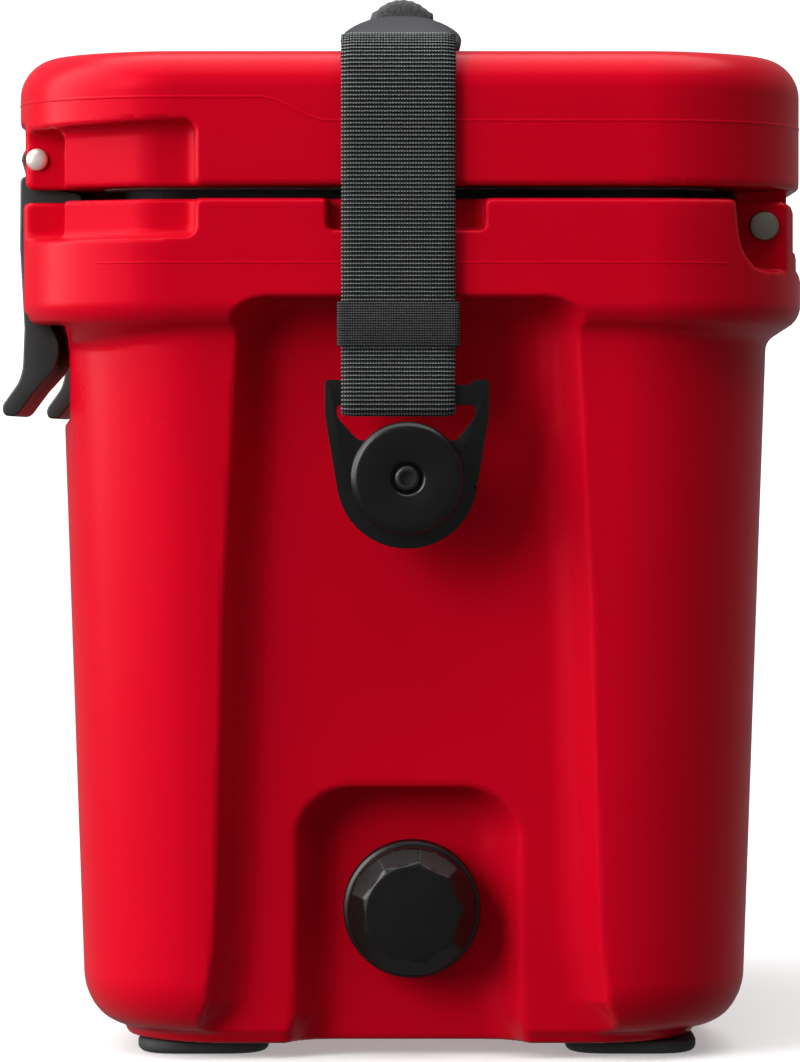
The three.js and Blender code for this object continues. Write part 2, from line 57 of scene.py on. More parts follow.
def node(nt, kind, **inputs):
    n = nt.nodes.new(kind)
    for k, v in inputs.items():
        n.inputs[k.replace("_", " ")].default_value = v
    return n


def noise(nt, scale, detail=3.0, rough=0.5, coords=None):
    n = nt.nodes.new("ShaderNodeTexNoise")
    n.inputs["Scale"].default_value = scale
    n.inputs["Detail"].default_value = detail
    n.inputs["Roughness"].default_value = rough
    if coords is None:
        coords = nt.nodes.new("ShaderNodeTexCoord").outputs["Object"]
    nt.links.new(coords, n.inputs["Vector"])
    return n


def ramp(nt, src, stops):
    r = nt.nodes.new("ShaderNodeValToRGB")
    e = r.color_ramp.elements
    while len(e) > 1:
        e.remove(e[-1])
    e[0].position, e[0].color = stops[0][0], (*stops[0][1], 1)
    for p, c in stops[1:]:
        k = e.new(p)
        k.color = (*c, 1)
    nt.links.new(src, r.inputs["Fac"])
    return r


def grey(v):
    return (v, v, v)


def bump(nt, b, height, dist, strength=1.0):
    n = nt.nodes.new("ShaderNodeBump")
    n.inputs["Distance"].default_value = dist
    n.inputs["Strength"].default_value = strength
    nt.links.new(height, n.inputs["Height"])
    nt.links.new(n.outputs["Normal"], b.inputs["Normal"])
    return n


def plastic(name, base, rough, spread=0.06, grain=900, depth=0.00004, tint=0.06, coat=0.0, metal=0.0):
    """Moulded plastic, rubber or satin metal: fine grain, soft cloudy colour and roughness."""
    m, nt, b = material(name, base, rough, metal)
    big = noise(nt, 9, 4)
    fine = noise(nt, grain, 2)
    lo = tuple(max(0, c * (1 - tint)) for c in base)
    hi = tuple(min(1, c * (1 + tint)) for c in base)
    nt.links.new(ramp(nt, big.outputs["Fac"], [(0.35, lo), (0.65, hi)]).outputs["Color"], b.inputs["Base Color"])
    nt.links.new(ramp(nt, noise(nt, 38, 4, 0.6).outputs["Fac"], [(0.3, grey(rough - spread)), (0.7, grey(rough + spread))]).outputs["Color"], b.inputs["Roughness"])
    bump(nt, b, fine.outputs["Fac"], depth)
    if coat:
        b.inputs["Coat Weight"].default_value = coat
        b.inputs["Coat Roughness"].default_value = 0.25
    return m


RED = plastic("red_plastic", (0.50, 0.0010, 0.0115), 0.30, 0.03, 1400, 0.00002, 0.03)
_red = RED.node_tree.nodes["Principled BSDF"]
_red.inputs["Specular Tint"].default_value = (1.0, 0.05, 0.09, 1)
_red.inputs["Specular IOR Level"].default_value = 0.32
BLACK = plastic("black_plastic", (0.0022, 0.0022, 0.0024), 0.30, 0.05, 1500, 0.00003)
DISC = plastic("disc_plastic", (0.0022, 0.0022, 0.0025), 0.30, 0.04, 1500, 0.00002)
for _m in (BLACK, DISC):
    _m.node_tree.nodes["Principled BSDF"].inputs["Specular IOR Level"].default_value = 0.38
LATCH = plastic("latch_plastic", (0.012, 0.012, 0.0125), 0.48, 0.05, 1200, 0.00004)
# painted highlight: light grey-brown colour for the inner edge of each latch tail, standing for light caught on
# that chamfer
LATCH_PAINTED_HIGHLIGHT = plastic("latch_painted_highlight", (0.17, 0.155, 0.13), 0.6, 0.05, 1200, 0.00004)
RUBBER = plastic("foot_rubber", (0.03, 0.03, 0.031), 0.75, 0.06, 1000, 0.00006)
SHOULDER = plastic("shoulder_rubber", (0.016, 0.017, 0.020), 0.55, 0.07, 1100, 0.00005)
BAND = plastic("band_rubber", (0.0075, 0.0075, 0.009), 0.48, 0.06, 1300, 0.00004)
SEAL = plastic("seal_rubber", (0.016, 0.016, 0.017), 0.7, 0.05, 1000, 0.00004)
WHITE = plastic("white_plastic", (0.80, 0.80, 0.78), 0.38, 0.04, 1200, 0.00003, 0.02)
FOAM = plastic("foam", (0.75, 0.66, 0.4), 0.9, 0.05, 500, 0.0002)
STEEL = plastic("steel", (0.62, 0.62, 0.61), 0.3, 0.06, 800, 0.00002, 0.04, metal=1.0)
PIN = plastic("pin_steel", (0.78, 0.74, 0.66), 0.36, 0.05, 900, 0.00002, 0.04, metal=0.55)
DULL = plastic("dull_steel", (0.24, 0.235, 0.19), 0.42, 0.08, 600, 0.00004, 0.15, metal=0.9)
BRASS = plastic("brass", (0.62, 0.48, 0.2), 0.35, 0.06, 700, 0.00002, 0.05, metal=1.0)
BLACK_STEEL = plastic("black_steel", (0.035, 0.036, 0.038), 0.38, 0.06, 900, 0.00002, 0.1, metal=0.7)
CORE = plastic("core_plastic", (0.25, 0.25, 0.25), 0.5, 0.05)

# red shells: parting line from object height, drawn as a faint raised bead
def webbing(name, fine=False):
    """Ribbed webbing: the UV map is in millimetres, u across the strap and v along it."""
    m, nt, b = material(name, (0.03, 0.032, 0.036), 0.8)
    uv = nt.nodes.new("ShaderNodeUVMap")
    uv.uv_map = "uv"
    sep = nt.nodes.new("ShaderNodeSeparateXYZ")
    nt.links.new(uv.outputs["UV"], sep.inputs["Vector"])
    pu, pv, gain = (0.95, 0.9, 0.6) if fine else (1.06, 1.48, 1.0)

    def wave(src, period, phase=0.0):
        mul = nt.nodes.new("ShaderNodeMath")
        mul.operation = "MULTIPLY_ADD"
        nt.links.new(src, mul.inputs[0])
        mul.inputs[1].default_value = 2 * math.pi / period
        mul.inputs[2].default_value = phase
        s = nt.nodes.new("ShaderNodeMath")
        s.operation = "SINE"
        nt.links.new(mul.outputs[0], s.inputs[0])
        return s.outputs[0]

    across = wave(sep.outputs["X"], pu)
    along = wave(sep.outputs["Y"], pv)
    prod = nt.nodes.new("ShaderNodeMath")
    prod.operation = "MULTIPLY_ADD"
    nt.links.new(across, prod.inputs[0])
    prod.inputs[1].default_value = 0.28
    nt.links.new(along, prod.inputs[2])
    col = ramp(nt, prod.outputs[0], [(0.0, (0.002, 0.0022, 0.0025)), (0.4, (0.006 * gain, 0.0065 * gain, 0.007 * gain)), (0.8, (0.06 * gain, 0.065 * gain, 0.068 * gain)), (1.0, (0.26 * gain, 0.28 * gain, 0.28 * gain))])
    blot = noise(nt, 160, 3)
    mix = nt.nodes.new("ShaderNodeMixRGB")
    mix.blend_type = "MULTIPLY"
    mix.inputs["Fac"].default_value = 0.45
    nt.links.new(col.outputs["Color"], mix.inputs["Color1"])
    nt.links.new(ramp(nt, blot.outputs["Fac"], [(0.3, grey(0.55)), (0.7, grey(1.0))]).outputs["Color"], mix.inputs["Color2"])
    nt.links.new(mix.outputs["Color"], b.inputs["Base Color"])
    bump(nt, b, prod.outputs[0], 0.0003)
    b.inputs["Sheen Weight"].default_value = 0.06
    b.inputs["Specular IOR Level"].default_value = 0.25
    b.inputs["Sheen Roughness"].default_value = 0.5
    return m


WEB = webbing("webbing")
FINE = webbing("fine_webbing", True)


# ------------------------------------------------------------------ mesh helpers (all inputs in CAD millimetres)
def taller(z):
    """Heights are laid out from a lower datum, the same way as in the CAD."""
    z = np.asarray(z, float)
    return z + 1.5 * np.clip((z - 14) / 14, 0, 1) + 3 * np.clip((z - 85) / 100, 0, 1)


def mesh_object(name, verts, faces, mat, body, replaces=(), smooth=True, normals=None):
    v = np.array(verts, float)
    v[:, 2] = taller(v[:, 2])
    v = v * 0.001
    v = v + np.array([0.0, YO * 0.001, 0.0])
    me = bpy.data.meshes.new(name)
    me.from_pydata(v.tolist(), [], [list(map(int, f)) for f in faces])
    me.validate()
    me.polygons.foreach_set("use_smooth", [smooth] * len(me.polygons))
    me.materials.append(mat)
    o = bpy.data.objects.new(name, me)
    C.objects.link(o)
    if normals is not None:
        me.normals_split_custom_set_from_vertices([tuple(n) for n in normals])
    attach(o, body)
    if replaces:
        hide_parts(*replaces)
    return o


def fix_normals(o):
    bm = bmesh.new()
    bm.from_mesh(o.data)
    bmesh.ops.recalc_face_normals(bm, faces=bm.faces)
    bm.to_mesh(o.data)
    bm.free()


def apply_mods(o):
    dg = bpy.context.evaluated_depsgraph_get()
    me = bpy.data.meshes.new_from_object(o.evaluated_get(dg))
    o.modifiers.clear()
    old = o.data
    o.data = me
    bpy.data.meshes.remove(old)


def soften(o, width, segs=3, angle=32):
    """Real rounded edges on a hard mesh, width in mm."""
    fix_normals(o)
    m = o.modifiers.new("bevel", "BEVEL")
    m.width = width * 0.001
    m.segments = segs
    m.limit_method = "ANGLE"
    m.angle_limit = math.radians(angle)
    m.harden_normals = False
    apply_mods(o)
    shade(o, 40)
    return o


def shade(o, angle=40):
    """Smooth shading, with edges sharper than the angle left hard."""
    me = o.data
    me.polygons.foreach_set("use_smooth", [True] * len(me.polygons))
    bm = bmesh.new()
    bm.from_mesh(me)
    lim = math.radians(angle)
    for e in bm.edges:
        e.smooth = not (len(e.link_faces) == 2 and e.calc_face_angle(0) > lim)
    bm.to_mesh(me)
    bm.free()


def lathe(name, profile, y, z, mat, body, replaces=(), segs=96, side=1, sides=None, ang=40):
    """Turned piece about an axis along X. profile: (x, r) from one axis end to the other."""
    n = segs
    verts, faces = [], []
    rings = []
    for x, r in profile:
        if r < 1e-6:
            rings.append([len(verts)])
            verts.append((x * side, y, z))
        else:
            rings.append(list(range(len(verts), len(verts) + n)))
            for i in range(n):
                a = 2 * math.pi * (i + 0.5) / n
                rr = r
                verts.append((x * side, y + rr * math.cos(a), z + rr * math.sin(a)))
    for A, B in zip(rings, rings[1:]):
        for i in range(n):
            j = (i + 1) % n
            if len(A) == 1 and len(B) == 1:
                continue
            if len(A) == 1:
                faces.append((A[0], B[j], B[i]))
            elif len(B) == 1:
                faces.append((A[i], A[j], B[0]))
            else:
                faces.append((A[i], A[j], B[j], B[i]))
    o = mesh_object(name, verts, faces, mat, body, replaces)
    fix_normals(o)
    shade(o, ang)
    return o


def slab(name, outline, x0, x1, mat, body, replaces=(), bevel=0.8, segs=3, holes=(), angle=32):
    """Plate in the YZ plane from x0 to x1, with rounded edges and holes."""
    bm = bmesh.new()
    loops = [outline, *holes]
    edges = []
    for loop in loops:
        vs = [bm.verts.new((x0 * 0.001, (p[0] + YO) * 0.001, float(taller(p[1])) * 0.001)) for p in loop]
        for i in range(len(vs)):
            edges.append(bm.edges.new((vs[i], vs[(i + 1) % len(vs)])))
    bmesh.ops.triangle_fill(bm, edges=edges, use_beauty=True, use_dissolve=True)
    faces = list(bm.faces)
    r = bmesh.ops.extrude_face_region(bm, geom=faces)
    vs = [g for g in r["geom"] if isinstance(g, bmesh.types.BMVert)]
    bmesh.ops.translate(bm, verts=vs, vec=((x1 - x0) * 0.001, 0, 0))
    bmesh.ops.recalc_face_normals(bm, faces=bm.faces)
    bmesh.ops.dissolve_limit(bm, angle_limit=0.002, verts=bm.verts, edges=bm.edges)
    me = bpy.data.meshes.new(name)
    bm.to_mesh(me)
    bm.free()
    me.materials.append(mat)
    o = bpy.data.objects.new(name, me)
    C.objects.link(o)
    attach(o, body)
    if replaces:
        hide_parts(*replaces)
    soften(o, bevel, segs, angle)
    return o


def circle(y, z, r, n=48):
    return [(y + r * math.cos(2 * math.pi * i / n), z + r * math.sin(2 * math.pi * i / n)) for i in range(n)]


def round_poly(pts, r, n=5):
    """Rounds the corners of a polygon by radius r (mm)."""
    out = []
    k = len(pts)
    for i in range(k):
        p0, p, p1 = (np.array(pts[i - 1], float), np.array(pts[i], float), np.array(pts[(i + 1) % k], float))
        a, b = p0 - p, p1 - p
        la, lb = np.linalg.norm(a), np.linalg.norm(b)
        a, b = a / la, b / lb
        t = min(r, la * 0.45, lb * 0.45)
        if abs(a @ b) > 0.995:
            out.append(tuple(p))
            continue
        s, e = p + a * t, p + b * t
        for j in range(n + 1):
            f = j / n
            out.append(tuple((1 - f) ** 2 * s + 2 * f * (1 - f) * p + f * f * e))
    return out


# ------------------------------------------------------------------ distance fields for the two red shells
def L2(a, b):
    return np.sqrt(a * a + b * b)


def rr(px, py, a, b, r):
    qx, qy = np.abs(px) - (a - r), np.abs(py) - (b - r)
    return L2(np.maximum(qx, 0), np.maximum(qy, 0)) + np.minimum(np.maximum(qx, qy), 0) - r


def both(a, b, r):
    """Intersection with a rounded edge of radius r."""
    if r <= 0:
        return np.maximum(a, b)
    return np.minimum(np.maximum(a, b), -r) + L2(np.maximum(r + a, 0), np.maximum(r + b, 0))


def either(a, b, r):
    """Union with a fillet of radius r."""
    if r <= 0:
        return np.minimum(a, b)
    return np.maximum(np.minimum(a, b), r) - L2(np.maximum(r - a, 0), np.maximum(r - b, 0))


def minus(a, b, r):
    return both(a, -b, r)


def slabd(v, lo, hi):
    return np.abs(v - (lo + hi) / 2) - (hi - lo) / 2


WZ = np.array([-20, 5, 10, 21.5, 40, 66, 110, 169.5, 273, 400.0])
WH = np.array([98, 93, 86, 75.8, 72.6, 71.4, 70.2, 68.5, 63.0, 63.0])


def draft(z):
    return np.clip((268 - z) / 257, 0, 1)


def corner_plan(ax, y):
    """Plan of the recess beside each latch: ear face, slanting floor, square end."""
    ear = both(165.8 - ax, y + 129.3, 0.8)
    floor_ = both(-((ax - 198.5) * 0.9 - (y + 95) * 0.435), y + 90, 0.5)
    end = both(196.8 - ax, y + 79.5, 4)
    return either(np.minimum(ear, both(floor_, y - 200, 0)), end, 2.5)


def body_field(x, y, z, drain):
    ax = np.abs(x)
    f = draft(z)
    # waist
    fx, fy = 1 - f * 8 / 198, 1 - f * 8.5 / 134.6
    d = rr(x / fx, (y - 1.6) / fy, 198, 134.6, 58)
    waist = both(both(d, 9.5 - z, 19), z - 290, 0)
    # rim band
    dr = rr(x, y, 206, 149, 62)
    cham = (dr + 1.8) * 0.544 - (z - 273.5) * 0.839
    rim = both(both(dr, cham, 4), both(z - 318.6, 262 - z, 0), 2.6)
    ledge = 292.6 - 1.03 * np.clip(y - 146.3, 0, 5) - z
    rim = minus(rim, np.maximum(-both(y - 146.3, z - 318.6, 8), ledge), 0.9)
    o = either(waist, rim, 2.5)
    base = both(rr(x, y, 174, 109, 44), slabd(z, 5.5, 30), 2.2)
    o = either(o, base, 3)
    # end channels
    depth = np.clip(198 - f * 8 - ax, -9, 40)
    wall = (np.abs(y + 1.0) - (np.interp(z, WZ, WH).astype(np.float32) - 0.62 * depth)) * 0.85
    ch = both(both(wall, z - 281.5, 13), (182 - f * 6) - ax, 6.5)
    o = minus(o, ch, 1.3)
    # centre panels, front and back
    hp = 61.5 + 3.5 * np.clip((258 - z) / 250, 0, 1) + 8 * np.clip((24 - z) / 24, 0, 2)
    yp = np.abs(y - 1.6)
    pd = np.clip(134.6 - f * 8.5 - yp, -16, 30)
    pw = (ax - (hp + 18 - 0.7 * pd)) * 0.82
    pn = both(both(pw, z - 258, 16), (125.4 - f * 5.2) - yp, 7)
    o = minus(o, pn, 1.8)
    if drain:
        pdp = np.clip(178 - x, -12, 30)
        hw = 42.4 + 1.6 * np.clip((66 - z) / 60, 0, 1) + 5 * np.clip((16 - z) / 16, 0, 1)
        w2 = (np.abs(y + 0.8) - (hw - 0.55 * pdp)) * 0.88
        pk = both(both(w2, z - 100.4, 19), 160.2 - x, 7)
        o = minus(o, pk, 2.2)
        o = minus(o, both(L2(y - 0.8, z - 54.6) - 8.3, 150 - x, 0), 0.5)
    # latch pockets and finger recesses
    xs = slabd(ax, 82, 162)
    box = both(both(xs, y + 131.9, 1.5), slabd(z, 250, 340), 0)
    cyl = both(both(L2(y + 140.6, z - 334.4) - 25.4, xs, 1.5), slabd(z, 292, 340), 0)
    o = minus(o, np.minimum(box, cyl), 1.2)
    fr = both(both(y + 129.2 + 0.7 * np.clip(237 - z, 0, 6), 79 - ax, 1), slabd(z, 235, 272), 1.5)
    o = minus(o, fr, 1.5)
    o = minus(o, both(both(slabd(ax, 105.7, 138.3), y + 129.1, 0.3), slabd(z, 282.7, 303.3), 1), 0.4)
    # hinge slots, notches, pins
    hs = np.minimum(L2(y - 133, z - 309) - 10.4, np.maximum(np.maximum(122.6 - y, 305 - z), -100))
    hs = np.minimum(hs, np.maximum(133 - y, 298.6 - z))
    o = minus(o, both(slabd(ax, 128, 164), hs, 0.8), 0.8)
    o = minus(o, both(both((122.5 - y) * 0.99 + (304 - z) * 0.1, (128.5 - y) * 0.62 + (293.6 - z) * 0.78, 5), both(292 - z, 174 - ax, 1), 1.5), 1.2)
    o = minus(o, both(L2(y - 133, z - 309) - 3.5, 117 - ax, 0), 0.2)
    # shallow end panels next to the latches
    fl = 303.2 + 0.9 * np.clip((y + 144) / 60, 0, 1)
    o = minus(o, both(corner_plan(ax, y), fl - z, 4.0), 1.6)
    # slot behind the strap
    tn = both(both(slabd(y, -30.6, 27.8), 306.6 - z, 2), 199 - ax, 1)
    o = minus(o, tn, 1.5)
    # pivot bosses
    boss = both(L2(y + 1.1, z - 214.6) - 16, slabd(ax, 160, 200), 1.5)
    o = either(o, boss, 6)
    o = minus(o, both(L2(y + 1.1, z - 214.6) - 6.3, 168 - ax, 0), 0.3)
    # well for the liner
    o = minus(o, both(rr(x, y, 152.4, 96.4, 19), 38.4 - z, 4), 0.8)
    return o


def lid_field(x, y, z):
    ax = np.abs(x)
    d = rr(x, y, 206, 148.3, 62)
    crown = z - 375.2 + 3.6 * np.clip((d + 50) / 50, 0, 1) ** 2
    o = both(d, crown, 13)
    o = both(o, 323.0 - z, 2.2)
    # latch pockets
    o = minus(o, both(both(slabd(ax, 82, 162), y + 131.2, 3), z - 347.4, 2.5), 1.2)
    # shallow end panels next to the latches
    tl = 347.4 + 0.042 * (y + 79.5)
    o = minus(o, both(corner_plan(ax, y), z - tl, 4.5), 1.6)
    # raised centre field on the top face
    o = minus(o, both(both(rr(x, y, 182, 124, 42), -rr(x, y, 176, 118, 36), 1.5), 374.0 - z, 0.8), 0.9)
    # hinge knuckles
    kn = np.minimum(L2(y - 133, z - 309) - 9.5, both(slabd(y, 123.5, 142.5), slabd(z, 309, 330), 0))
    o = either(o, both(slabd(ax, 128.6, 163.4), kn, 1.2), 1.5)
    o = minus(o, both(L2(y - 133, z - 309) - 3.5, slabd(ax, 117, 170), 0), 0.2)
    o = minus(o, both(L2(y + 140.6, z - 334.4) - 2.8, slabd(ax, 74, 206), 0), 0.2)
    # seat of the liner
    o = minus(o, both(rr(x, y, 178, 116, 20), z - 327.4, 1), 0.8)
    return o


def field_chunks(fn, xs, ys, zs):
    out = np.empty((len(xs), len(ys), len(zs)), np.float32)
    Y, Z = np.meshgrid(ys, zs, indexing="ij")
    Y, Z = Y[None].astype(np.float32), Z[None].astype(np.float32)
    for i in range(0, len(xs), 16):
        X = xs[i : i + 16][:, None, None].astype(np.float32)
        out[i : i + 16] = fn(X + 0 * Y, Y + 0 * X, Z + 0 * X)
    return out


def surface(fn, lo, hi, h, ratio):
    """Surface nets over a grid, thinned, then pulled onto the true surface. Returns verts, faces, normals."""
    xs, ys, zs = [np.arange(a, b + h, h) for a, b in zip(lo, hi)]
    F = field_chunks(fn, xs, ys, zs)
    S = F < 0
    nx, ny, nz = F.shape
    cells = np.zeros((nx - 1, ny - 1, nz - 1), bool)
    cnt = np.zeros((nx - 1, ny - 1, nz - 1), np.int8)
    for dx in (0, 1):
        for dy in (0, 1):
            for dz in (0, 1):
                cnt += S[dx : nx - 1 + dx, dy : ny - 1 + dy, dz : nz - 1 + dz]
    act = (cnt > 0) & (cnt < 8)
    idx = -np.ones(act.shape, np.int64)
    cells = np.argwhere(act)
    idx[act] = np.arange(len(cells))
    acc = np.zeros((len(cells), 3))
    num = np.zeros(len(cells))
    i, j, k = cells.T
    for axis in range(3):
        o1, o2 = [a for a in range(3) if a != axis]
        for p in (0, 1):
            for q in (0, 1):
                off = [0, 0, 0]
                off[o1], off[o2] = p, q
                a = F[i + off[0], j + off[1], k + off[2]]
                off2 = list(off)
                off2[axis] = 1
                b = F[i + off2[0], j + off2[1], k + off2[2]]
                m = (a < 0) != (b < 0)
                t = np.where(m, a / np.where(m, a - b, 1), 0)
                pos = np.zeros((len(cells), 3))
                pos[:, o1], pos[:, o2] = p, q
                pos[:, axis] = t
                acc[m] += pos[m]
                num[m] += 1
    V = np.stack([xs[i], ys[j], zs[k]], 1) + h * acc / num[:, None]
    faces = []
    for axis in range(3):
        sl0 = [slice(1, -1)] * 3
        a = [slice(1, -1), slice(1, -1), slice(1, -1)]
        b = [slice(1, -1), slice(1, -1), slice(1, -1)]
        a[axis] = slice(0, -1)
        b[axis] = slice(1, None)
        A, B = S[tuple(a)], S[tuple(b)]
        e = np.argwhere(A != B)
        flip = A[tuple(e.T)]
        base = e.copy()
        o1, o2 = [(1, 2), (2, 0), (0, 1)][axis]
        base[:, o1] += 1
        base[:, o2] += 1
        quad = []
        for p, q in ((-1, -1), (0, -1), (0, 0), (-1, 0)):
            c = base.copy()
            c[:, o1] += p
            c[:, o2] += q
            quad.append(idx[tuple(c.T)])
        Q = np.stack(quad, 1)
        Q[~flip] = Q[~flip][:, ::-1]
        faces.append(Q)
    Fq = np.concatenate(faces)

    def grad(P, e=0.25):
        g = np.zeros_like(P)
        for a in range(3):
            d = np.zeros(3)
            d[a] = e
            g[:, a] = (fn(*(P + d).T) - fn(*(P - d).T)) / (2 * e)
        return g

    def pull(P, n=3):
        for _ in range(n):
            g = grad(P)
            v = fn(*P.T)
            l = np.maximum((g * g).sum(1), 0.2)
            s = np.clip(v / l, -h * 0.6, h * 0.6)
            P = P - g * s[:, None]
        return P

    V = pull(V)
    me = bpy.data.meshes.new("tmp")
    me.from_pydata(V.tolist(), [], Fq.tolist())
    o = bpy.data.objects.new("tmp", me)
    C.objects.link(o)
    if ratio < 1:
        m = o.modifiers.new("d", "DECIMATE")
        m.ratio = ratio
        m.use_collapse_triangulate = True
        dg = bpy.context.evaluated_depsgraph_get()
        me2 = bpy.data.meshes.new_from_object(o.evaluated_get(dg))
        V = np.empty(len(me2.vertices) * 3)
        me2.vertices.foreach_get("co", V)
        V = V.reshape(-1, 3)
        faces = [tuple(p.vertices) for p in me2.polygons]
        V = pull(V, 2)
        bpy.data.meshes.remove(me2)
    else:
        faces = [tuple(q) for q in Fq]
    bpy.data.objects.remove(o)
    bpy.data.meshes.remove(me)
    N = grad(V, 0.35)
    N[:, 2] /= (taller(V[:, 2] + 0.05) - taller(V[:, 2] - 0.05)) / 0.1
    N /= np.maximum(np.linalg.norm(N, axis=1), 1e-9)[:, None]
    return V, faces, N


H = 2.1
import time

t0 = time.time()


def body_any(x, y, z):
    right = body_field(x, y, z, True)
    return right


V, Fc, N = surface(body_any, (-212, -151, -2), (212, 151, 324), H, 0.42)
body = mesh_object("tub", V, Fc, RED, "chest", ("body_shell",), normals=N)
V, Fc, N = surface(lid_field, (-212, -151, 292), (212, 151, 381), H, 0.42)
lid = mesh_object("lid", V, Fc, RED, "lid", ("lid_shell",), normals=N)
print("shells", round(time.time() - t0, 1), len(body.data.polygons), len(lid.data.polygons))

def bead(name, fn, path, body_name, width=0.75, rise=0.2):
    """Fine moulding line: a low ridge that follows the shell. path: points near the surface, pulled onto it."""
    P = np.array(path, float)

    def g(Q, e=0.3):
        out = np.zeros_like(Q)
        for a in range(3):
            d = np.zeros(3)
            d[a] = e
            out[:, a] = (fn(*(Q + d).T) - fn(*(Q - d).T)) / (2 * e)
        return out

    for _ in range(8):
        G = g(P)
        G[:, 2] = 0
        P = P - G * np.clip(fn(*P.T) / np.maximum((G * G).sum(1), 0.3), -2, 2)[:, None]
    Nn = g(P)
    Nn /= np.maximum(np.linalg.norm(Nn, axis=1), 1e-9)[:, None]
    T = np.gradient(P, axis=0)
    T /= np.maximum(np.linalg.norm(T, axis=1), 1e-9)[:, None]
    B = np.cross(T, Nn)
    ring = [(-1.0, -0.5), (-0.55, 0.55), (0.0, 1.0), (0.55, 0.55), (1.0, -0.5)]
    verts, faces = [], []
    for p, n_, b_ in zip(P, Nn, B):
        for a, h_ in ring:
            verts.append(p + b_ * a * width + n_ * h_ * rise)
    m = len(ring)
    for i in range(len(P) - 1):
        for j in range(m):
            k = (j + 1) % m
            faces.append((i * m + j, i * m + k, (i + 1) * m + k, (i + 1) * m + j))
    faces.append(tuple(range(m)))
    faces.append(tuple(reversed(range((len(P) - 1) * m, len(P) * m))))
    o = mesh_object(name, verts, faces, RED, body_name)
    fix_normals(o)
    shade(o, 60)
    return o


def around(x, y, r, ang0, ang1, n):
    """Points round a rounded rectangle, by angle of the corner arcs from -Y end (-90) to +Y end (90) at +X."""
    out = []
    for t in np.linspace(0, 1, n):
        a = math.radians(ang0 + (ang1 - ang0) * t)
        s_ = 1 if a > 0 else -1
        out.append((x - r + r * math.cos(a), s_ * (y - r) + r * math.sin(a)))
    return out


def end_path(x, y, r, zf, n=60):
    """Round one end: along the front corner arc, straight across the end, round the rear arc."""
    pts = [(x - r + r * math.cos(a), -(y - r) + r * math.sin(a)) for a in np.linspace(-math.pi / 2, 0, n // 2)]
    pts += [(x, v_) for v_ in np.linspace(-(y - r), y - r, n)[1:-1]]
    pts += [(x - r + r * math.cos(a), (y - r) + r * math.sin(a)) for a in np.linspace(0, math.pi / 2, n // 2)]
    return [(p[0], p[1], zf(p[1])) for p in pts]


def lid_line(y):
    s_ = min(max((y + 56) / 26, 0), 1)
    return 355.6 - 8.8 * (s_ * s_ * (3 - 2 * s_))


for side, tag in ((1, "right"), (-1, "left")):
    flip = lambda pts: [(p[0] * side, p[1], p[2]) for p in pts]
    bead(f"lid_seam_{tag}", lid_field, flip(end_path(206, 148.3, 62, lid_line, 90)), "lid")
    bead(f"rim_seam_{tag}", body_any, flip([p for p in end_path(206, 149, 62, lambda y: 294.3, 60) if p[1] > -118 and p[1] < 120]), "chest", 0.6, 0.16)

# ------------------------------------------------------------------ handle
PY, PZ = -1.1, 214.6
SY, SW = -4.3, 21.25


def u(a):
    return PY + a


def v(a):
    return PZ + a


arc = [(u(26.1 * math.cos(a)), v(26.1 * math.sin(a))) for a in np.linspace(math.pi + 0.1, 2 * math.pi - 0.1, 32)]
outline = (
    round_poly([(u(-26.0), v(-3)), (u(-30.3), v(23)), (u(-30.4), v(36.4)), (u(-25.0), v(36.4)), (u(-22.8), v(34.4)), (u(22.8), v(34.4)), (u(25.0), v(36.4)), (u(30.4), v(36.4)), (u(30.3), v(23)), (u(26.0), v(-3))], 2.0, 4)
)
outline = outline[: len(outline)] + list(reversed(arc))
window = round_poly([(u(-26), v(22.6)), (u(-18.2), v(14)), (u(18.2), v(14)), (u(25.2), v(22.6)), (u(25.2), v(27)), (u(-26), v(27))], 1.6, 4)
for side, tag in ((1, "right"), (-1, "left")):
    x0, x1 = sorted((204 * side, 209 * side))
    slab(f"bracket_plate_{tag}", outline, x0, x1, BLACK, "handle", (f"bracket_{tag}",), 1.3, 3, holes=[window, circle(PY, PZ, 9.4)])
    lathe(f"pivot_cap_{tag}", [(209.6, 4.4), (209.6, 20.2), (210.1, 20.9), (214.6, 20.9), (215.3, 20.6), (216.2, 19.5), (216.55, 18.7), (216.6, 18.0), (216.6, 7.0), (216.35, 6.3), (215.7, 5.85), (212.4, 5.75), (212.3, 4.4), (209.6, 4.4)], PY, PZ, DISC, "chest", (f"pivot_disc_{tag}",), side=side, ang=50)
    # bolt: round button head with a hexagon socket
    hexr = 2.7
    lathe(f"pivot_bolt_head_{tag}", [(172, 0), (172, 4), (212.6, 4), (212.6, 5.1), (213.4, 5.2), (214.9, 4.9), (215.7, 4.1), (216.0, 3.3), (215.9, hexr), (213.8, hexr * 0.97), (213.5, 0)], PY, PZ, BLACK_STEEL, "chest", (f"pivot_bolt_{tag}",), side=side, segs=96)

# webbing strap: one band with real ribs, loop round the bar, up the end, over the lid to the grip
PATH = [(205.2, 279), (204.6, 262), (202.3, 254), (202.1, 242.4), (202.9, 239.7), (204.6, 238.9), (208.4, 238.9), (210.1, 239.7), (210.9, 242.4), (210.9, 252), (209.6, 262), (209.2, 285), (209.1, 355), (208.3, 365), (205.8, 372), (201, 377), (194, 379.2), (150, 380.0), (93, 381.9), (62, 384.4)]


def resample(path, step, rounds=2):
    P = [np.array(p, float) for p in path]
    for _ in range(rounds):
        Q = [P[0]]
        for a, b in zip(P, P[1:]):
            Q += [a * 0.75 + b * 0.25, a * 0.25 + b * 0.75]
        Q.append(P[-1])
        P = Q
    P = np.array(P)
    s = np.concatenate([[0], np.cumsum(np.linalg.norm(np.diff(P, axis=0), axis=1))])
    n = int(s[-1] / step)
    t = np.linspace(0, s[-1], n + 1)
    return np.stack([np.interp(t, s, P[:, 0]), np.interp(t, s, P[:, 1])], 1), t


